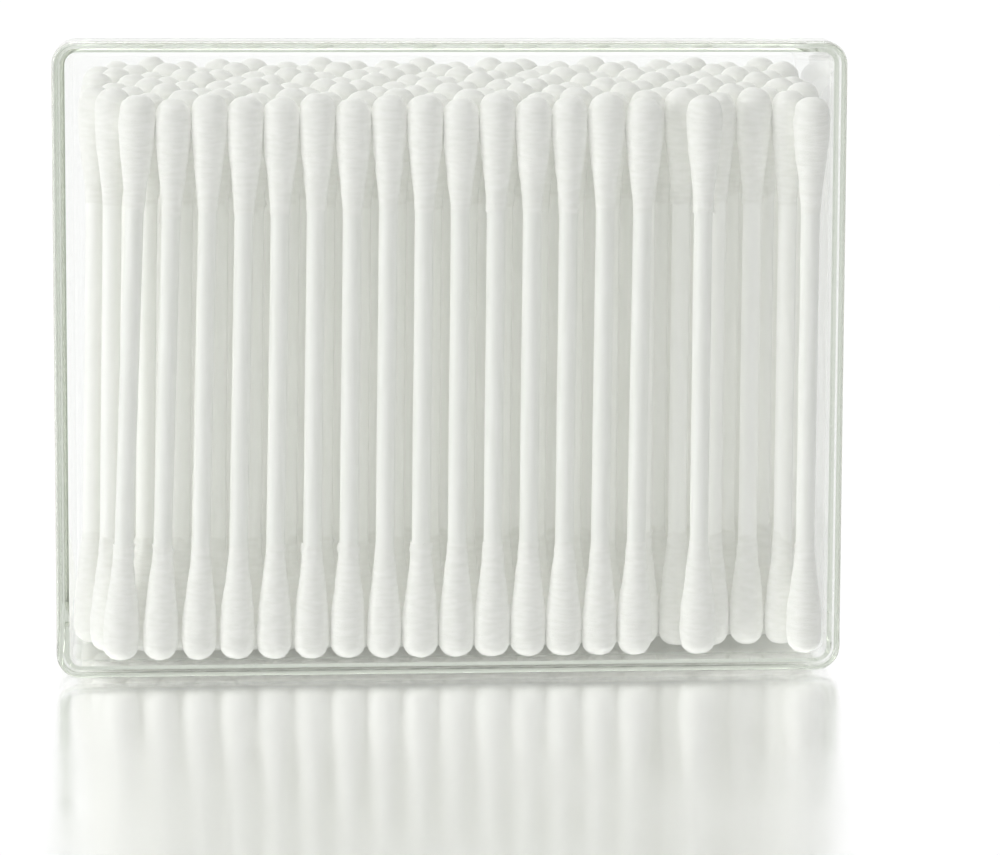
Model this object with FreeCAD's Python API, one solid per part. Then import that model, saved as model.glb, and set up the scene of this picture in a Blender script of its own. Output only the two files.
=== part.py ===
import FreeCAD, Part
import math
import os

# A clear tub of cotton swabs that stands on its long side, with its lid facing forward.
# Sizes are in millimetres and angles in degrees.
# The pack is drawn upright first: X across, Y from the lid's face to the tub's back, Z up the lid's face.
# At the end it leans back until the tub's lower wall lies flat.

# The swabs
swab_length = 75.5
stick_diameter = 2.5
tip_diameter = 4.6
tip_length = 15.5
collar_diameter = 3.0      # the cotton's width where it ends on the stick
nose_diameter = 2.4        # the flat middle of the cotton's blunt nose
nose_shoulder_diameter = 4.1
nose_shoulder_height = 0.9
nose_length = 2.4          # from the nose to the cotton's widest place
cotton_over_end = 1.6      # cotton beyond the stick's end
length_spread = 0.35       # how far a swab's length differs from its neighbours'

# How the swabs stand
row_count = 8
row_gap = 0.05             # between the cotton of one row and the next
neighbour_gap = 0.1        # the least room between two swabs of a row
standing_gap = 0.1         # under a swab's lower tip
wall_gap = 0.2             # beside the outermost swabs and behind the last row
lid_to_swab_gap = 0.35
side_lean = 1.3            # how far the top of the leftmost swab stands to the right of its foot
side_lean_at_right = 0.25
front_row_slide = 1.0      # the front row has slid this far towards its first gap on the right
front_row_missing = (0, -5, -3, -2)    # places that are empty, the negative ones counted from the right
front_foot_slide = 2.3     # how far the feet beside the empty place on the left have slid into it
front_foot_fade = 6        # the power by which that slide dies away from the left wall
front_top_slide = 1.0      # how far the tops beside the first gap on the right have slid into it
front_top_fade = 9         # the power by which that slide dies away from the gap

# The lid
front_width = 105.0
front_corner_radius = 3.2
lid_plate = 0.8
lid_wall = 0.8
lid_depth = 5.0
lid_edge_radius = 0.5

# The tub
lid_fit_gap = 0.25         # between the lid's skirt and the tub's rim, all round
rim_wall = 0.75            # the rim's wall at the shoulder
rim_tip_gap = 0.3          # between the rim's edge and the lid's plate
shoulder_gap = 0.3         # between the skirt's edge and the tub's shoulder
back_wall = 1.2
back_edge_radius = 2.2
long_wall_draft = 4.0
end_wall_draft = 1.0
headroom = 0.6             # above the last row of swabs

# Worked out from the sizes above
tip_radius = tip_diameter / 2
stick_radius = stick_diameter / 2
body_wall = lid_wall + lid_fit_gap + rim_wall
long_slope = math.tan(math.radians(long_wall_draft))
end_slope = math.tan(math.radians(end_wall_draft))
first_row_y = lid_plate + lid_to_swab_gap + tip_radius
row_spacing = tip_diameter + row_gap
last_row_y = first_row_y + (row_count - 1) * row_spacing
cavity_back_y = last_row_y + tip_radius + wall_gap
pack_depth = cavity_back_y + back_wall
last_row_rise = (cavity_back_y - lid_depth) * long_slope
tallest_swab = swab_length + length_spread
front_height = 2 * (body_wall + last_row_rise) + standing_gap + tallest_swab + headroom


def corner_radius(inset):
    """The radius of the outline's corners where it is drawn inset from the lid's outline."""
    return front_corner_radius - min(inset, front_corner_radius / 2)


def section(inset, y):
    """A rounded rectangle across the pack at depth y, drawn inset from the lid's outline."""
    half_x = front_width / 2 - inset
    low_z, high_z = inset, front_height - inset
    radius = corner_radius(inset)
    slant = radius * math.sqrt(0.5)
    point = lambda x, z: FreeCAD.Vector(x, y, z)
    edges = []
    corners = [(half_x, low_z, 1, -1), (half_x, high_z, 1, 1),
               (-half_x, high_z, -1, 1), (-half_x, low_z, -1, -1)]
    for index, (x, z, side_x, side_z) in enumerate(corners):
        centre_x, centre_z = x - side_x * radius, z - side_z * radius
        flat_end, upright_end = point(centre_x, z), point(x, centre_z)
        middle = point(centre_x + side_x * slant, centre_z + side_z * slant)
        ends = [flat_end, upright_end] if index % 2 == 0 else [upright_end, flat_end]
        if edges:
            edges.append(Part.LineSegment(edges[-1].EndPoint, ends[0]))
        edges.append(Part.Arc(ends[0], middle, ends[1]))
    edges.append(Part.LineSegment(edges[-1].EndPoint, edges[0].StartPoint))
    return Part.Wire([edge.toShape() for edge in edges])


def drafted(inset, start_y, end_y):
    """A solid between two depths whose flat walls close in towards the back by the tub's draft."""
    rings = []
    for y in (start_y, end_y):
        run = y - lid_depth
        half_x = front_width / 2 - inset - run * end_slope
        low_z = inset + run * long_slope
        high_z = front_height - low_z
        corners = [(-half_x, low_z), (half_x, low_z), (half_x, high_z), (-half_x, high_z)]
        rings.append([FreeCAD.Vector(x, y, z) for x, z in corners])
    outlines = list(rings)
    for here, there in ((0, 1), (1, 2), (2, 3), (3, 0)):
        outlines.append([rings[0][here], rings[0][there], rings[1][there], rings[1][here]])
    faces = [Part.Face(Part.makePolygon(outline + outline[:1])) for outline in outlines]
    solid = Part.Solid(Part.Shell(faces))
    long_edges = [edge for edge in solid.Edges if abs(edge.Vertexes[0].Y - edge.Vertexes[1].Y) > 1e-6]
    return solid.makeFillet(corner_radius(inset), long_edges)


def straight(inset, start_y, end_y):
    """A solid between two depths with no draft."""
    face = Part.Face(section(inset, start_y))
    return face.extrude(FreeCAD.Vector(0, end_y - start_y, 0))


def round_edges_at(shape, y, radius):
    edges = [edge for edge in shape.Edges if all(abs(v.Point.y - y) < 1e-6 for v in edge.Vertexes)]
    return shape.makeFillet(radius, edges)


def make_tub():
    body = round_edges_at(drafted(0, lid_depth, pack_depth), pack_depth, back_edge_radius)
    rim = straight(lid_wall + lid_fit_gap, lid_plate + rim_tip_gap, lid_depth)
    cavity = drafted(body_wall, lid_plate, cavity_back_y)
    cavity = round_edges_at(cavity, cavity_back_y, back_edge_radius - back_wall)
    return body.fuse(rim).cut(cavity).removeSplitter()


def make_lid():
    shell = round_edges_at(straight(0, 0, lid_depth - shoulder_gap), 0, lid_edge_radius)
    return shell.cut(straight(lid_wall, lid_plate, lid_depth))


def make_tip():
    """One wound cotton tip, its blunt nose at the origin and the stick's side upwards."""
    at = lambda radius, height: FreeCAD.Vector(radius, 0, height)
    outline = [at(0, 0), at(nose_diameter / 2, 0), at(nose_shoulder_diameter / 2, nose_shoulder_height),
               at(tip_radius, nose_length), at(collar_diameter / 2, tip_length), at(stick_radius, tip_length),
               at(stick_radius, cotton_over_end), at(0, cotton_over_end), at(0, 0)]
    face = Part.Face(Part.makePolygon(outline))
    return face.revolve(FreeCAD.Vector(0, 0, 0), FreeCAD.Vector(0, 0, 1), 360)


def swab_places(row):
    """The foot of each swab in a row, how far its top stands to the right, and its length."""
    y = first_row_y + row * row_spacing
    run = y - lid_depth
    floor_z = body_wall + run * long_slope
    foot_z = floor_z + standing_gap + nose_diameter / 2 * long_slope
    reach = front_width / 2 - body_wall - max(run, 0) * end_slope - tip_radius - wall_gap
    places = int((2 * reach - side_lean) / (tip_diameter + neighbour_gap)) + 1
    pitch = (2 * reach - side_lean_at_right) / (places - 1)
    stagger = pitch / 2 if row % 2 else 0.0
    swabs = []
    for index in range(places - row % 2):
        x = -reach + stagger + index * pitch
        if row == 0 and (index in front_row_missing or index - places in front_row_missing):
            continue
        share = 1 - index / (places - 1)
        lean = side_lean_at_right + (side_lean - side_lean_at_right) * share ** 2
        if row == 0:
            foot_slide = front_foot_slide * share ** front_foot_fade
            x -= foot_slide
            lean += foot_slide
            gap_index = places + front_row_missing[1]
            if index < gap_index:
                x += front_row_slide
                lean += front_top_slide * (index / gap_index) ** front_top_fade
        length = swab_length + length_spread * math.sin(2.4 * index + 1.7 * row)
        swabs.append((FreeCAD.Vector(x, y, foot_z), lean, length))
    return swabs


def make_row(row, tip):
    """The sticks, upper tips and lower tips of one row, standing in their places."""
    sticks, upper_tips, lower_tips = [], [], []
    for foot, lean, length in swab_places(row):
        turn = FreeCAD.Rotation(FreeCAD.Vector(0, 1, 0), math.degrees(math.asin(lean / length)))
        along = turn.multVec(FreeCAD.Vector(0, 0, 1))
        stick = Part.makeCylinder(stick_radius, length - 2 * cotton_over_end)
        stick.Placement = FreeCAD.Placement(foot + along * cotton_over_end, turn)
        lower = tip.copy()
        lower.Placement = FreeCAD.Placement(foot, turn)
        upper = tip.copy()
        upside_down = FreeCAD.Rotation(FreeCAD.Vector(1, 0, 0), 180)
        upper.Placement = FreeCAD.Placement(foot + along * length, turn * upside_down)
        sticks.append(stick)
        upper_tips.append(upper)
        lower_tips.append(lower)
    return sticks, upper_tips, lower_tips


def stand_up(shapes):
    """Lean the pack back onto its lower wall, and bring the middle of its underside to the origin."""
    lean_back = FreeCAD.Rotation(FreeCAD.Vector(1, 0, 0), -long_wall_draft)
    for shape in shapes.values():
        shape.Placement = FreeCAD.Placement(FreeCAD.Vector(0, 0, 0), lean_back) * shape.Placement
    box = shapes["tub"].optimalBoundingBox(False, False)
    box.add(shapes["lid"].optimalBoundingBox(False, False))
    to_origin = FreeCAD.Placement(FreeCAD.Vector(-box.Center.x, -box.Center.y, -box.ZMin), FreeCAD.Rotation())
    for shape in shapes.values():
        shape.Placement = to_origin * shape.Placement


def main():
    shapes = {"tub": make_tub(), "lid": make_lid()}
    tip = make_tip()
    for row in range(row_count):
        groups = make_row(row, tip)
        for name, solids in zip(("sticks", "upper_tips", "lower_tips"), groups):
            shapes[f"row_{row + 1}_{name}"] = Part.makeCompound(solids)
    stand_up(shapes)
    os.makedirs("parts", exist_ok=True)
    for name, shape in shapes.items():
        shape.exportStep(f"parts/{name}.step")
        print(name, len(shape.Solids), "solids", round(shape.Volume, 1), "mm3", shape.isValid())
    print("front", round(front_width, 2), "x", round(front_height, 2), "depth", round(pack_depth, 2))


main()
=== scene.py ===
import bpy
import math
import random
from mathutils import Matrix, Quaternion, Vector


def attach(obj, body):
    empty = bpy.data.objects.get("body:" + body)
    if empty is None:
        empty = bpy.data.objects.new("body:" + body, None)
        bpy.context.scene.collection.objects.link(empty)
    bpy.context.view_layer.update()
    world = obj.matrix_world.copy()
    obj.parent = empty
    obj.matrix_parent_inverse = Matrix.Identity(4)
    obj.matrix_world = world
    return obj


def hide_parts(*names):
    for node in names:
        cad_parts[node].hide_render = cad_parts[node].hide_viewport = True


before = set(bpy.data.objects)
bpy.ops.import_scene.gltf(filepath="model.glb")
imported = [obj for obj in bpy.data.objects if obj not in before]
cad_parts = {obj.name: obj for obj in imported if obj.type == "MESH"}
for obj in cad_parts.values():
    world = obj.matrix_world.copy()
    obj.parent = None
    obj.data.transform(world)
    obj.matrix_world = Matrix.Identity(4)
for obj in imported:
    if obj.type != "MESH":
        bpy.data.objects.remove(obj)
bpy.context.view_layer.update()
print("frame loaded:", len(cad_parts), "parts")

rowCount = sum(name.endswith("_sticks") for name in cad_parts)


def newMaterial(name):
    material = bpy.data.materials.new(name)
    material.use_nodes = True
    material.node_tree.nodes.clear()
    return material, material.node_tree


def addNode(tree, kind, x, y, **settings):
    node = tree.nodes.new(kind)
    node.location = (x, y)
    for key, value in settings.items():
        setattr(node, key, value)
    return node


def setInputs(node, **values):
    for key, value in values.items():
        node.inputs[key.replace("_", " ")].default_value = value
    return node


# The grain that cotton, sticks, plastic and table all show, each at its own scale


def makeGrainGroup():
    group = bpy.data.node_groups.new("surfaceGrain", "ShaderNodeTree")
    face = group.interface
    face.new_socket("Scale", in_out="INPUT", socket_type="NodeSocketFloat").default_value = 1000
    face.new_socket("Stretch", in_out="INPUT", socket_type="NodeSocketVector").default_value = (1, 1, 1)
    face.new_socket("Detail", in_out="INPUT", socket_type="NodeSocketFloat").default_value = 3
    face.new_socket("Low", in_out="INPUT", socket_type="NodeSocketFloat").default_value = 0.35
    face.new_socket("High", in_out="INPUT", socket_type="NodeSocketFloat").default_value = 0.65
    face.new_socket("Strength", in_out="INPUT", socket_type="NodeSocketFloat").default_value = 0.2
    face.new_socket("Depth", in_out="INPUT", socket_type="NodeSocketFloat").default_value = 0.0001
    face.new_socket("Mask", in_out="OUTPUT", socket_type="NodeSocketFloat")
    face.new_socket("Normal", in_out="OUTPUT", socket_type="NodeSocketVector")
    enter = addNode(group, "NodeGroupInput", -900, 0)
    leave = addNode(group, "NodeGroupOutput", 500, 0)
    place = addNode(group, "ShaderNodeTexCoord", -900, 300)
    stretch = addNode(group, "ShaderNodeVectorMath", -650, 200, operation="MULTIPLY")
    noise = addNode(group, "ShaderNodeTexNoise", -400, 150)
    spread = addNode(group, "ShaderNodeMapRange", -150, 150)
    bump = addNode(group, "ShaderNodeBump", 200, -50)
    link = group.links.new
    link(place.outputs["Object"], stretch.inputs[0])
    link(enter.outputs["Stretch"], stretch.inputs[1])
    link(stretch.outputs["Vector"], noise.inputs["Vector"])
    link(enter.outputs["Scale"], noise.inputs["Scale"])
    link(enter.outputs["Detail"], noise.inputs["Detail"])
    link(noise.outputs["Fac"], spread.inputs["Value"])
    link(enter.outputs["Low"], spread.inputs["From Min"])
    link(enter.outputs["High"], spread.inputs["From Max"])
    link(spread.outputs["Result"], bump.inputs["Height"])
    link(enter.outputs["Strength"], bump.inputs["Strength"])
    link(enter.outputs["Depth"], bump.inputs["Distance"])
    link(spread.outputs["Result"], leave.inputs["Mask"])
    link(bump.outputs["Normal"], leave.inputs["Normal"])
    return group


grainGroup = makeGrainGroup()


def addGrain(tree, x, y, scale, stretch, detail, strength, depth):
    grain = addNode(tree, "ShaderNodeGroup", x, y, node_tree=grainGroup)
    setInputs(grain, Scale=scale, Stretch=stretch, Detail=detail, Strength=strength, Depth=depth)
    return grain


def addTwoTones(tree, x, y, mask, first, second):
    mix = addNode(tree, "ShaderNodeMix", x, y, data_type="RGBA")
    tree.links.new(mask, mix.inputs[0])
    mix.inputs[6].default_value = (*first, 1)
    mix.inputs[7].default_value = (*second, 1)
    return mix.outputs[2]


# Cotton

cottonFinish = {
    "shade": (0.89, 0.90, 0.85),
    "light": (0.945, 0.95, 0.91),
    "roughness": 0.92,
    "sheen": 0.25,
    "sheenRoughness": 0.6,
    "specular": 0.2,
    "windScale": 900,
    "windStretch": (0.6, 0.6, 2.6),
    "windStrength": 0.3,
    "windDetail": 4,
    "windDepth": 0.00012,
}


def makeCottonMaterial():
    material, tree = newMaterial("woundCotton")
    wind = addGrain(tree, -600, 0, cottonFinish["windScale"], cottonFinish["windStretch"],
                    cottonFinish["windDetail"], cottonFinish["windStrength"], cottonFinish["windDepth"])
    tone = addTwoTones(tree, -300, 200, wind.outputs["Mask"], cottonFinish["shade"], cottonFinish["light"])
    cloth = addNode(tree, "ShaderNodeBsdfPrincipled", 0, 0)
    setInputs(cloth, Roughness=cottonFinish["roughness"], Sheen_Weight=cottonFinish["sheen"],
              Sheen_Roughness=cottonFinish["sheenRoughness"], Specular_IOR_Level=cottonFinish["specular"])
    output = addNode(tree, "ShaderNodeOutputMaterial", 300, 0)
    tree.links.new(tone, cloth.inputs["Base Color"])
    tree.links.new(wind.outputs["Normal"], cloth.inputs["Normal"])
    tree.links.new(cloth.outputs[0], output.inputs["Surface"])
    return material


# Sticks

stickFinish = {
    "shade": (0.885, 0.90, 0.85),
    "light": (0.92, 0.93, 0.89),
    "shadeBehindPaintedLight": (0.955, 0.965, 0.92),     # painted light: paler tones for the rows behind the first, standing in for the light that passes on from stick to stick
    "lightBehindPaintedLight": (0.97, 0.975, 0.94),
    "roughnessLow": 0.38,
    "roughnessHigh": 0.5,
    "streakScale": 1400,
    "streakStretch": (1.0, 1.0, 0.05),
    "streakDetail": 2,
    "streakStrength": 0.12,
    "streakDepth": 0.00004,
}


def makeStickMaterial(name, shade, light):
    material, tree = newMaterial(name)
    streak = addGrain(tree, -700, 0, stickFinish["streakScale"], stickFinish["streakStretch"],
                      stickFinish["streakDetail"], stickFinish["streakStrength"], stickFinish["streakDepth"])
    tone = addTwoTones(tree, -300, 250, streak.outputs["Mask"], shade, light)
    gloss = addNode(tree, "ShaderNodeMapRange", -300, -50)
    setInputs(gloss, To_Min=stickFinish["roughnessLow"], To_Max=stickFinish["roughnessHigh"])
    plastic = addNode(tree, "ShaderNodeBsdfPrincipled", 0, 0)
    output = addNode(tree, "ShaderNodeOutputMaterial", 300, 0)
    tree.links.new(streak.outputs["Mask"], gloss.inputs["Value"])
    tree.links.new(gloss.outputs["Result"], plastic.inputs["Roughness"])
    tree.links.new(tone, plastic.inputs["Base Color"])
    tree.links.new(streak.outputs["Normal"], plastic.inputs["Normal"])
    tree.links.new(plastic.outputs[0], output.inputs["Surface"])
    return material


# Clear plastic

plasticFinish = {
    "tint": (0.995, 0.998, 0.996),
    "depthTint": (0.66, 0.70, 0.62),     # what stays of light that runs along inside a wall
    "depthDensity": 40,
    "clearAfter": 4,      # light that has crossed this many surfaces goes straight on, so none is trapped
    "ior": 1.47,
    "polished": 0.0,
    "handled": 0.04,
    "handledScale": 220,
    "handledDetail": 5,
    "handledFrom": (0.5, 0.75),
    "waveScale": 45,
    "waveDetail": 1,
    "waveStrength": 0.012,
    "waveDepth": 0.0001,
}


def makeClearPlasticMaterial():
    material, tree = newMaterial("clearPlastic")
    wave = addGrain(tree, -800, -200, plasticFinish["waveScale"], (1, 1, 1), plasticFinish["waveDetail"],
                    plasticFinish["waveStrength"], plasticFinish["waveDepth"])
    handled = addGrain(tree, -800, 200, plasticFinish["handledScale"], (1, 1, 1),
                       plasticFinish["handledDetail"], 0, 0)
    setInputs(handled, Low=plasticFinish["handledFrom"][0], High=plasticFinish["handledFrom"][1])
    gloss = addNode(tree, "ShaderNodeMapRange", -400, 200)
    setInputs(gloss, To_Min=plasticFinish["polished"], To_Max=plasticFinish["handled"])
    body = addNode(tree, "ShaderNodeBsdfPrincipled", -100, 100)
    setInputs(body, Base_Color=(*plasticFinish["tint"], 1), Transmission_Weight=1.0, IOR=plasticFinish["ior"])
    depth = addNode(tree, "ShaderNodeVolumeAbsorption", -100, -300)
    setInputs(depth, Color=(*plasticFinish["depthTint"], 1), Density=plasticFinish["depthDensity"])
    straightOn = addNode(tree, "ShaderNodeBsdfTransparent", -100, -150)
    ray = addNode(tree, "ShaderNodeLightPath", -400, 500)
    trapped = addNode(tree, "ShaderNodeMath", -200, 500, operation="GREATER_THAN")
    trapped.inputs[1].default_value = plasticFinish["clearAfter"]
    either = addNode(tree, "ShaderNodeMath", 0, 400, operation="MAXIMUM")
    mix = addNode(tree, "ShaderNodeMixShader", 200, 100)
    output = addNode(tree, "ShaderNodeOutputMaterial", 400, 100)
    link = tree.links.new
    link(depth.outputs[0], output.inputs["Volume"])
    link(ray.outputs["Ray Depth"], trapped.inputs[0])
    link(ray.outputs["Is Shadow Ray"], either.inputs[0])
    link(trapped.outputs[0], either.inputs[1])
    link(either.outputs[0], mix.inputs[0])
    link(body.outputs[0], mix.inputs[1])
    link(straightOn.outputs[0], mix.inputs[2])
    link(mix.outputs[0], output.inputs["Surface"])
    link(handled.outputs["Mask"], gloss.inputs["Value"])
    link(gloss.outputs["Result"], body.inputs["Roughness"])
    link(wave.outputs["Normal"], body.inputs["Normal"])
    return material


cotton = makeCottonMaterial()
frontStick = makeStickMaterial("whiteStick", stickFinish["shade"], stickFinish["light"])
# a paler copy of the stick colour for the rows behind the first: painted light for the light that passes on
# from stick to stick
stickBehindPaintedLight = makeStickMaterial("whiteStickPaintedLight", stickFinish["shadeBehindPaintedLight"], stickFinish["lightBehindPaintedLight"])
clearPlastic = makeClearPlasticMaterial()
print("materials ready")


def dressNode(name, material):
    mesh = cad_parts[name].data
    for index in range(len(mesh.materials)):
        mesh.materials[index] = material
    if not mesh.materials:
        mesh.materials.append(material)


for name in ("tub", "lid"):
    dressNode(name, clearPlastic)
    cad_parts[name].visible_shadow = False     # lamps and bounced light pass through the plastic
    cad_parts[name].visible_diffuse = False
# the first row gets the plain stick colour, the rows behind get the paler copy with painted light
for row in range(1, rowCount + 1):
    dressNode(f"row_{row}_sticks", frontStick if row == 1 else stickBehindPaintedLight)

# Where each swab stands: a stick's rings of points above and below its middle give its two ends


def readStickEnds(name):
    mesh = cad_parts[name].data
    count = len(mesh.vertices)
    places = [vertex.co.copy() for vertex in mesh.vertices]
    keys = {}
    group = list(range(count))

    def find(index):
        while group[index] != index:
            group[index] = group[group[index]]
            index = group[index]
        return index

    for index, place in enumerate(places):
        key = tuple(round(value, 7) for value in place)
        group[find(index)] = find(keys.setdefault(key, index))
    for edge in mesh.edges:
        first, second = edge.vertices
        group[find(first)] = find(second)
    members = {}
    for index in range(count):
        members.setdefault(find(index), []).append(places[index])
    ends = []
    for points in members.values():
        unique = [Vector(key) for key in {tuple(round(v, 7) for v in point) for point in points}]
        middle = sum(unique, Vector()) / len(unique)
        lower = [point for point in unique if point.z < middle.z]
        upper = [point for point in unique if point.z >= middle.z]
        ends.append((sum(lower, Vector()) / len(lower), sum(upper, Vector()) / len(upper)))
    return sorted(ends, key=lambda pair: pair[0].x)


# Cotton tips, wound by Geometry Nodes

tipShape = {
    "length": 0.0155,
    "radius": 0.00244,
    "beyondStick": 0.0016,
    "profile": [(0, 0.2), (0.01, 0.42), (0.035, 0.68), (0.085, 0.9), (0.15, 0.985), (0.22, 1.0),
                (0.33, 0.975), (0.46, 0.9), (0.62, 0.77), (0.78, 0.645), (0.9, 0.565), (1, 0.518)],
    "lumpSize": 420,
    "lumpDetail": 1,
    "lumpHeight": 0.00036,
    "ridgeSize": 1100,
    "ridgeStretch": (0.45, 0.45, 1.6),
    "ridgeDetail": 2,
    "ridgeHeight": 0.00011,
    "plumpness": (0.96, 1.03),
    "frayHeight": 0.0005,
    "frayScale": 1500,
    "frayPatch": (0.5, 0.72),
    "collarFrom": (0.86, 0.97),
    "raggedCollar": 1.0,
    "tidyCollar": 0.1,
    "frayedAbove": 0.1,     # the share of the tips whose cotton ends in a ragged collar
    "frayedBelow": 0.35,
    "seedAbove": 10,
    "seedBelow": 30,
}
closeTips = {"rings": 34, "sides": 32}
farTips = {"rings": 13, "sides": 14}
closeRows = (1, 2)


def makeTipTree():
    tree = bpy.data.node_groups.new("windCottonTips", "GeometryNodeTree")
    face = tree.interface
    face.new_socket("Geometry", in_out="INPUT", socket_type="NodeSocketGeometry")
    for name, kind, value in [
        ("Length", "NodeSocketFloat", tipShape["length"]), ("Radius", "NodeSocketFloat", tipShape["radius"]),
        ("Rings", "NodeSocketInt", 12), ("Sides", "NodeSocketInt", 12),
        ("Lump Size", "NodeSocketFloat", tipShape["lumpSize"]),
        ("Lump Height", "NodeSocketFloat", tipShape["lumpHeight"]),
        ("Ridge Size", "NodeSocketFloat", tipShape["ridgeSize"]),
        ("Ridge Height", "NodeSocketFloat", tipShape["ridgeHeight"]),
        ("Fray Height", "NodeSocketFloat", tipShape["frayHeight"]),
        ("Seed", "NodeSocketInt", 7), ("Material", "NodeSocketMaterial", None),
    ]:
        socket = face.new_socket(name, in_out="INPUT", socket_type=kind)
        if value is not None:
            socket.default_value = value
    face.new_socket("Geometry", in_out="OUTPUT", socket_type="NodeSocketGeometry")
    link = tree.links.new
    enter = addNode(tree, "NodeGroupInput", -1800, 0)
    leave = addNode(tree, "NodeGroupOutput", 2200, 0)

    # one tip along Z, its rings closer together towards the nose
    line = addNode(tree, "GeometryNodeCurvePrimitiveLine", -1600, 400)
    line.inputs["End"].default_value = (0, 0, 1)
    rings = addNode(tree, "GeometryNodeResampleCurve", -1400, 400)
    factor = addNode(tree, "GeometryNodeSplineParameter", -1600, 100)
    quarter = addNode(tree, "ShaderNodeMath", -1400, 100, operation="MULTIPLY")
    quarter.inputs[1].default_value = math.pi / 2
    cosine = addNode(tree, "ShaderNodeMath", -1250, 100, operation="COSINE")
    along = addNode(tree, "ShaderNodeMath", -1100, 100, operation="SUBTRACT")
    along.inputs[0].default_value = 1
    height = addNode(tree, "ShaderNodeMath", -950, 0, operation="MULTIPLY")
    point = addNode(tree, "ShaderNodeCombineXYZ", -800, 0)
    keepAlong = addNode(tree, "GeometryNodeStoreNamedAttribute", -1000, 400,
                        data_type="FLOAT", domain="POINT")
    keepAlong.inputs["Name"].default_value = "along"
    stretch = addNode(tree, "GeometryNodeSetPosition", -650, 400)
    profile = addNode(tree, "ShaderNodeFloatCurve", -800, -200)
    curve = profile.mapping.curves[0]
    steps = tipShape["profile"]
    curve.points[0].location = steps[0]
    curve.points[1].location = steps[-1]
    for step in steps[1:-1]:
        curve.points.new(*step)
    profile.mapping.update()
    width = addNode(tree, "ShaderNodeMath", -500, -100, operation="MULTIPLY")
    circle = addNode(tree, "GeometryNodeCurvePrimitiveCircle", -450, 150)
    circle.inputs["Radius"].default_value = 1
    skin = addNode(tree, "GeometryNodeCurveToMesh", -250, 400)
    skin.inputs["Fill Caps"].default_value = True
    link(line.outputs["Curve"], rings.inputs["Curve"])
    link(enter.outputs["Rings"], rings.inputs["Count"])
    link(factor.outputs["Factor"], quarter.inputs[0])
    link(quarter.outputs[0], cosine.inputs[0])
    link(cosine.outputs[0], along.inputs[1])
    link(rings.outputs["Curve"], keepAlong.inputs["Geometry"])
    link(along.outputs[0], keepAlong.inputs["Value"])
    link(along.outputs[0], height.inputs[0])
    link(enter.outputs["Length"], height.inputs[1])
    link(height.outputs[0], point.inputs["Z"])
    link(keepAlong.outputs["Geometry"], stretch.inputs["Geometry"])
    link(point.outputs[0], stretch.inputs["Position"])
    readAlong = addNode(tree, "GeometryNodeInputNamedAttribute", -1000, -200, data_type="FLOAT")
    readAlong.inputs["Name"].default_value = "along"
    link(readAlong.outputs["Attribute"], profile.inputs["Value"])
    link(profile.outputs[0], width.inputs[0])
    link(enter.outputs["Radius"], width.inputs[1])
    link(enter.outputs["Sides"], circle.inputs["Resolution"])
    link(stretch.outputs["Geometry"], skin.inputs["Curve"])
    link(width.outputs[0], skin.inputs["Scale"])
    link(circle.outputs["Curve"], skin.inputs["Profile Curve"])

    # a tip at each place, turned along its stick and spun by its own share of a turn
    axis = addNode(tree, "GeometryNodeInputNamedAttribute", -250, 0, data_type="FLOAT_VECTOR")
    axis.inputs["Name"].default_value = "axis"
    align = addNode(tree, "FunctionNodeAlignRotationToVector", 0, 0, axis="Z")
    spin = addNode(tree, "FunctionNodeRandomValue", 0, -200, data_type="FLOAT")
    spin.inputs[3].default_value = 2 * math.pi
    spinTurn = addNode(tree, "FunctionNodeAxisAngleToRotation", 150, -200)
    turn = addNode(tree, "FunctionNodeRotateRotation", 300, 0, rotation_space="LOCAL")
    plump = addNode(tree, "FunctionNodeRandomValue", 150, -450, data_type="FLOAT")
    plump.inputs[2].default_value, plump.inputs[3].default_value = tipShape["plumpness"]
    size = addNode(tree, "ShaderNodeCombineXYZ", 350, -450)
    size.inputs["Z"].default_value = 1
    stand = addNode(tree, "GeometryNodeInstanceOnPoints", 500, 300)
    realize = addNode(tree, "GeometryNodeRealizeInstances", 700, 300)
    link(axis.outputs["Attribute"], align.inputs["Vector"])
    link(align.outputs["Rotation"], turn.inputs["Rotation"])
    link(enter.outputs["Seed"], spin.inputs["Seed"])
    link(enter.outputs["Seed"], plump.inputs["Seed"])
    link(spin.outputs[1], spinTurn.inputs["Angle"])
    link(spinTurn.outputs[0], turn.inputs["Rotate By"])
    link(plump.outputs[1], size.inputs["X"])
    link(plump.outputs[1], size.inputs["Y"])
    link(enter.outputs["Geometry"], stand.inputs["Points"])
    link(skin.outputs["Mesh"], stand.inputs["Instance"])
    link(turn.outputs["Rotation"], stand.inputs["Rotation"])
    link(size.outputs[0], stand.inputs["Scale"])
    link(stand.outputs["Instances"], realize.inputs["Geometry"])

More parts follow.
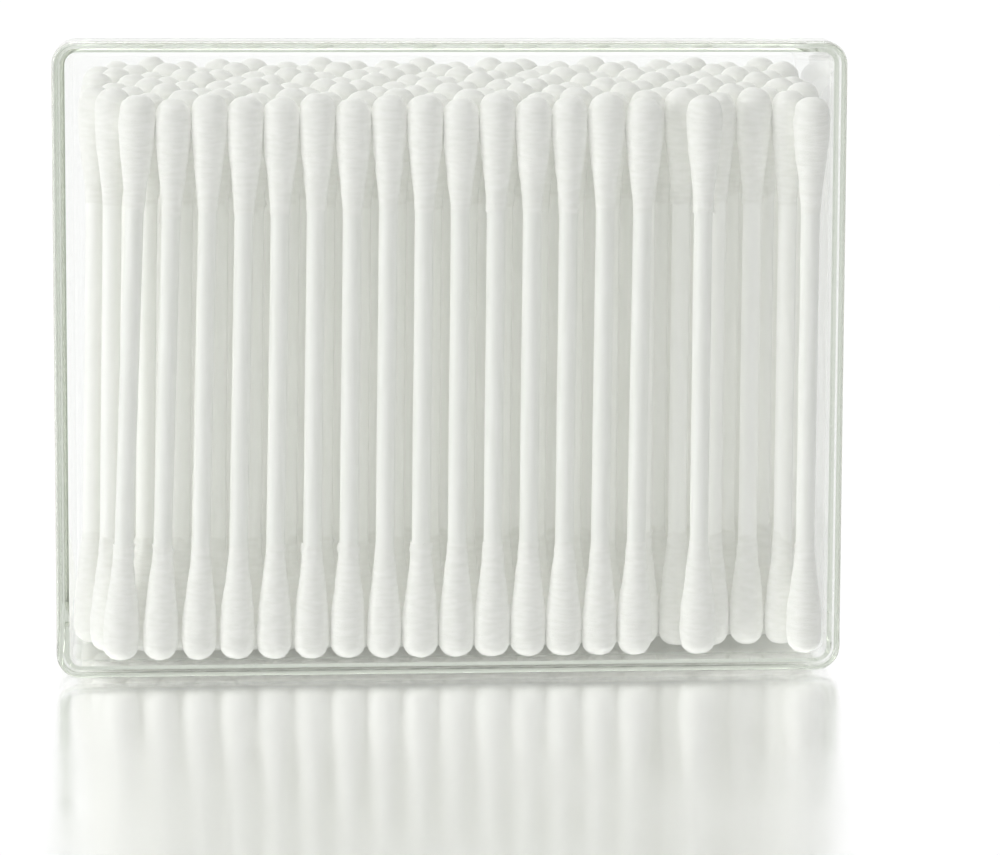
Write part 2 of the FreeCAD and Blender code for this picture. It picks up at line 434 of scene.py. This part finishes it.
    # lumps, ridges across the winding, and a frayed edge where the cotton ends on the stick
    spot = addNode(tree, "GeometryNodeInputPosition", 500, -200)
    lumps = addNode(tree, "ShaderNodeTexNoise", 750, -100)
    lumps.inputs["Detail"].default_value = tipShape["lumpDetail"]
    lumpRise = addNode(tree, "ShaderNodeMath", 950, -100, operation="SUBTRACT")
    lumpRise.inputs[1].default_value = 0.5
    lumpPart = addNode(tree, "ShaderNodeMath", 1100, -100, operation="MULTIPLY")
    flatten = addNode(tree, "ShaderNodeVectorMath", 600, -400, operation="MULTIPLY")
    flatten.inputs[1].default_value = tipShape["ridgeStretch"]
    ridges = addNode(tree, "ShaderNodeTexNoise", 750, -400)
    ridges.inputs["Detail"].default_value = tipShape["ridgeDetail"]
    ridgeRise = addNode(tree, "ShaderNodeMath", 950, -400, operation="SUBTRACT")
    ridgeRise.inputs[1].default_value = 0.5
    ridgePart = addNode(tree, "ShaderNodeMath", 1100, -400, operation="MULTIPLY")
    both = addNode(tree, "ShaderNodeMath", 1250, -200, operation="ADD")
    nearEnd = addNode(tree, "ShaderNodeMapRange", 950, -700)
    setInputs(nearEnd, From_Min=tipShape["collarFrom"][0], From_Max=tipShape["collarFrom"][1])
    readAgain = addNode(tree, "GeometryNodeInputNamedAttribute", 750, -700, data_type="FLOAT")
    readAgain.inputs["Name"].default_value = "along"
    fray = addNode(tree, "GeometryNodeInputNamedAttribute", 750, -850, data_type="FLOAT")
    fray.inputs["Name"].default_value = "fray"
    frayNoise = addNode(tree, "ShaderNodeTexNoise", 750, -1000)
    frayNoise.inputs["Scale"].default_value = tipShape["frayScale"]
    frayMask = addNode(tree, "ShaderNodeMath", 1100, -700, operation="MULTIPLY")
    frayPatch = addNode(tree, "ShaderNodeMapRange", 950, -1000)
    setInputs(frayPatch, From_Min=tipShape["frayPatch"][0], From_Max=tipShape["frayPatch"][1])
    frayLift = addNode(tree, "ShaderNodeMath", 1100, -900, operation="MULTIPLY")
    frayPart = addNode(tree, "ShaderNodeMath", 1250, -750, operation="MULTIPLY")
    total = addNode(tree, "ShaderNodeMath", 1400, -300, operation="ADD")
    normal = addNode(tree, "GeometryNodeInputNormal", 1250, 100)
    push = addNode(tree, "ShaderNodeVectorMath", 1550, 0, operation="SCALE")
    swellOut = addNode(tree, "GeometryNodeSetPosition", 1700, 300)
    smooth = addNode(tree, "GeometryNodeSetShadeSmooth", 1850, 300)
    paint = addNode(tree, "GeometryNodeSetMaterial", 2000, 300)
    link(spot.outputs[0], lumps.inputs["Vector"])
    link(enter.outputs["Lump Size"], lumps.inputs["Scale"])
    link(lumps.outputs["Fac"], lumpRise.inputs[0])
    link(lumpRise.outputs[0], lumpPart.inputs[0])
    link(enter.outputs["Lump Height"], lumpPart.inputs[1])
    link(spot.outputs[0], flatten.inputs[0])
    link(flatten.outputs[0], ridges.inputs["Vector"])
    link(enter.outputs["Ridge Size"], ridges.inputs["Scale"])
    link(ridges.outputs["Fac"], ridgeRise.inputs[0])
    link(ridgeRise.outputs[0], ridgePart.inputs[0])
    link(enter.outputs["Ridge Height"], ridgePart.inputs[1])
    link(lumpPart.outputs[0], both.inputs[0])
    link(ridgePart.outputs[0], both.inputs[1])
    link(readAgain.outputs["Attribute"], nearEnd.inputs["Value"])
    link(nearEnd.outputs["Result"], frayMask.inputs[0])
    link(fray.outputs["Attribute"], frayMask.inputs[1])
    link(spot.outputs[0], frayNoise.inputs["Vector"])
    link(frayNoise.outputs["Fac"], frayPatch.inputs["Value"])
    link(frayPatch.outputs["Result"], frayLift.inputs[0])
    link(enter.outputs["Fray Height"], frayLift.inputs[1])
    link(frayMask.outputs[0], frayPart.inputs[0])
    link(frayLift.outputs[0], frayPart.inputs[1])
    link(both.outputs[0], total.inputs[0])
    link(frayPart.outputs[0], total.inputs[1])
    link(normal.outputs[0], push.inputs[0])
    link(total.outputs[0], push.inputs["Scale"])
    link(realize.outputs["Geometry"], swellOut.inputs["Geometry"])
    link(push.outputs[0], swellOut.inputs["Offset"])
    link(swellOut.outputs["Geometry"], smooth.inputs["Geometry"])
    link(smooth.outputs["Geometry"], paint.inputs["Geometry"])
    link(enter.outputs["Material"], paint.inputs["Material"])
    link(paint.outputs["Geometry"], leave.inputs["Geometry"])
    return tree


tipTree = makeTipTree()


def setModifierInput(modifier, name, value):
    for item in modifier.node_group.interface.items_tree:
        if item.item_type == "SOCKET" and item.in_out == "INPUT" and item.name == name:
            modifier[item.identifier] = value


def windTips(name, node, noses, axes, build, frayed, seed):
    chance = random.Random(seed)
    mesh = bpy.data.meshes.new(name + "Places")
    mesh.from_pydata(noses, [], [])
    mesh.attributes.new("axis", "FLOAT_VECTOR", "POINT")
    mesh.attributes["axis"].data.foreach_set("vector", [value for axis in axes for value in axis])
    mesh.attributes.new("fray", "FLOAT", "POINT")
    collars = [tipShape["raggedCollar"] if chance.random() < frayed else tipShape["tidyCollar"]
               for axis in axes]
    mesh.attributes["fray"].data.foreach_set("value", collars)
    carrier = bpy.data.objects.new(name + "Carrier", mesh)
    bpy.context.collection.objects.link(carrier)
    modifier = carrier.modifiers.new("tips", "NODES")
    modifier.node_group = tipTree
    setModifierInput(modifier, "Rings", build["rings"])
    setModifierInput(modifier, "Sides", build["sides"])
    setModifierInput(modifier, "Seed", seed)
    setModifierInput(modifier, "Material", cotton)
    evaluated = carrier.evaluated_get(bpy.context.evaluated_depsgraph_get())
    finished = bpy.data.meshes.new_from_object(evaluated)
    finished.name = name
    carrier.modifiers.remove(modifier)
    bpy.data.objects.remove(carrier)
    piece = bpy.data.objects.new(name, finished)
    bpy.context.collection.objects.link(piece)
    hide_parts(node)
    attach(piece, "tub")
    return piece


for row in range(1, rowCount + 1):
    ends = readStickEnds(f"row_{row}_sticks")
    lowerNoses, upperNoses, lowerAxes, upperAxes = [], [], [], []
    for lower, upper in ends:
        up = (upper - lower).normalized()
        lowerNoses.append(lower - up * tipShape["beyondStick"])
        upperNoses.append(upper + up * tipShape["beyondStick"])
        lowerAxes.append(up)
        upperAxes.append(-up)
    build = closeTips if row in closeRows else farTips
    upperPiece = windTips(f"row{row}UpperCotton", f"row_{row}_upper_tips", upperNoses, upperAxes, build,
                          tipShape["frayedAbove"], tipShape["seedAbove"] + row)
    windTips(f"row{row}LowerCotton", f"row_{row}_lower_tips", lowerNoses, lowerAxes, build,
             tipShape["frayedBelow"], tipShape["seedBelow"] + row)
    print("row", row, "wound:", len(ends), "swabs,", len(upperPiece.data.polygons), "faces above")

# Table and background

table = {
    "size": 6.0,
    "below": 0.00005,
    "colour": (0.99, 0.99, 0.99),
    "roughness": 0.16,
    "wornRoughness": 0.256,
    "wearScale": 30,
    "wearDetail": 4,
    "mirror": 0.93,
    "lift": 0.05,     # white that only the camera sees
}


def makeTable():
    material, tree = newMaterial("glossyTable")
    wear = addGrain(tree, -700, 0, table["wearScale"], (1, 1, 1), table["wearDetail"], 0, 0)
    gloss = addNode(tree, "ShaderNodeMapRange", -400, 0)
    setInputs(gloss, To_Min=table["roughness"], To_Max=table["wornRoughness"])
    top = addNode(tree, "ShaderNodeBsdfPrincipled", -100, 0)
    setInputs(top, Base_Color=(*table["colour"], 1), Metallic=table["mirror"], Emission_Color=(1, 1, 1, 1))
    ray = addNode(tree, "ShaderNodeLightPath", -700, -400)
    lift = addNode(tree, "ShaderNodeMath", -400, -400, operation="MULTIPLY")
    lift.inputs[1].default_value = table["lift"]
    output = addNode(tree, "ShaderNodeOutputMaterial", 200, 0)
    tree.links.new(wear.outputs["Mask"], gloss.inputs["Value"])
    tree.links.new(gloss.outputs["Result"], top.inputs["Roughness"])
    tree.links.new(ray.outputs["Is Camera Ray"], lift.inputs[0])
    tree.links.new(lift.outputs[0], top.inputs["Emission Strength"])
    tree.links.new(top.outputs[0], output.inputs["Surface"])
    half = table["size"] / 2
    mesh = bpy.data.meshes.new("tableTop")
    corners = [(-half, -half, -table["below"]), (half, -half, -table["below"]),
               (half, half, -table["below"]), (-half, half, -table["below"])]
    mesh.from_pydata(corners, [], [(0, 1, 2, 3)])
    mesh.materials.append(material)
    slab = bpy.data.objects.new("tableTop", mesh)
    bpy.context.collection.objects.link(slab)


makeTable()

studio = {
    "world": 0.08,
    "aim": (0, 0, 0.04),
    # place, size, power and whether the swabs shade one another from it
    "keyLight": ((-1.1, -0.5, 0.45), 0.5, 3.9, True),
    "topLight": ((0.0, -0.1, 1.2), 0.8, 8.6, True),
    "frontFill": ((-0.2, -1.2, 0.4), 0.8, 0.5, False),
    "leftFill": ((-1.2, 0.2, 0.4), 0.8, 2.8, False),
    "rightFill": ((1.2, 0.0, 0.4), 0.8, 0.5, False),
    "backFill": ((0.0, 1.2, 0.5), 0.8, 7.2, False),
}


def makeWorld():
    world = bpy.data.worlds.new("whiteStudio")
    bpy.context.scene.world = world
    world.use_nodes = True
    world.cycles.sampling_method = "NONE"     # the world is even all round, so it isn't sampled as a lamp
    tree = world.node_tree
    tree.nodes.clear()
    ray = addNode(tree, "ShaderNodeLightPath", -900, 0)
    seen = addNode(tree, "ShaderNodeMath", -650, 100, operation="MAXIMUM")
    seenToo = addNode(tree, "ShaderNodeMath", -450, 100, operation="MAXIMUM")
    strength = addNode(tree, "ShaderNodeMapRange", -250, 100)
    setInputs(strength, To_Min=studio["world"], To_Max=1.0)
    white = addNode(tree, "ShaderNodeBackground", 0, 0)
    setInputs(white, Color=(1, 1, 1, 1))
    output = addNode(tree, "ShaderNodeOutputWorld", 200, 0)
    tree.links.new(ray.outputs["Is Camera Ray"], seen.inputs[0])
    tree.links.new(ray.outputs["Is Glossy Ray"], seen.inputs[1])
    tree.links.new(seen.outputs[0], seenToo.inputs[0])
    tree.links.new(ray.outputs["Is Transmission Ray"], seenToo.inputs[1])
    tree.links.new(seenToo.outputs[0], strength.inputs["Value"])
    tree.links.new(strength.outputs["Result"], white.inputs["Strength"])
    tree.links.new(white.outputs[0], output.inputs["Surface"])


def addSoftbox(name, place, size, power, shades):
    lamp = bpy.data.lights.new(name, "AREA")
    lamp.shape = "SQUARE"
    lamp.size = size
    lamp.energy = power
    lamp.use_shadow = shades
    box = bpy.data.objects.new(name, lamp)
    box.visible_camera = False
    box.visible_glossy = shades      # the fills leave no patch on the lid or the table
    box.visible_transmission = shades
    bpy.context.collection.objects.link(box)
    box.location = place
    aim = Vector(studio["aim"]) - Vector(place)
    box.rotation_euler = aim.to_track_quat("-Z", "Y").to_euler()


makeWorld()
for name in ("keyLight", "topLight", "frontFill", "leftFill", "rightFill", "backFill"):
    addSoftbox(name, *studio[name])
print("table and lamps ready")

# Camera

photoView = {
    "place": (-0.0404, -0.650, 0.1765),
    "pan": 5.19,
    "tilt": 12.24,
    "roll": 0.72,
    "focalPixels": 4866,
    "pictureWidth": 1000,
    "sensor": 36,
    "shift": (-0.078, -0.042),
    "clip": (0.05, 20),
}


def makeCamera():
    data = bpy.data.cameras.new("photoCamera")
    data.sensor_width = photoView["sensor"]
    data.lens = photoView["focalPixels"] / photoView["pictureWidth"] * photoView["sensor"]
    data.shift_x, data.shift_y = photoView["shift"]
    data.clip_start, data.clip_end = photoView["clip"]
    camera = bpy.data.objects.new("photoCamera", data)
    bpy.context.collection.objects.link(camera)
    camera.location = photoView["place"]
    camera.rotation_mode = "QUATERNION"
    pan, tilt = math.radians(photoView["pan"]), math.radians(photoView["tilt"])
    ahead = Vector((math.sin(pan) * math.cos(tilt), math.cos(pan) * math.cos(tilt), -math.sin(tilt)))
    turn = ahead.to_track_quat("-Z", "Y")
    camera.rotation_quaternion = turn @ Quaternion((0, 0, 1), math.radians(photoView["roll"]))
    bpy.context.scene.camera = camera


makeCamera()
bpy.context.scene.view_settings.view_transform = "Standard"

# How far light is followed: long paths for the clear walls, short ones between the swabs

lightPaths = {
    "max_bounces": 14,
    "transmission_bounces": 12,
    "glossy_bounces": 12,
    "diffuse_bounces": 3,
    "transparent_max_bounces": 24,
    "caustics_refractive": False,
    "adaptive_threshold": 0.1,
}
for key, value in lightPaths.items():
    setattr(bpy.context.scene.cycles, key, value)

print("scene ready")
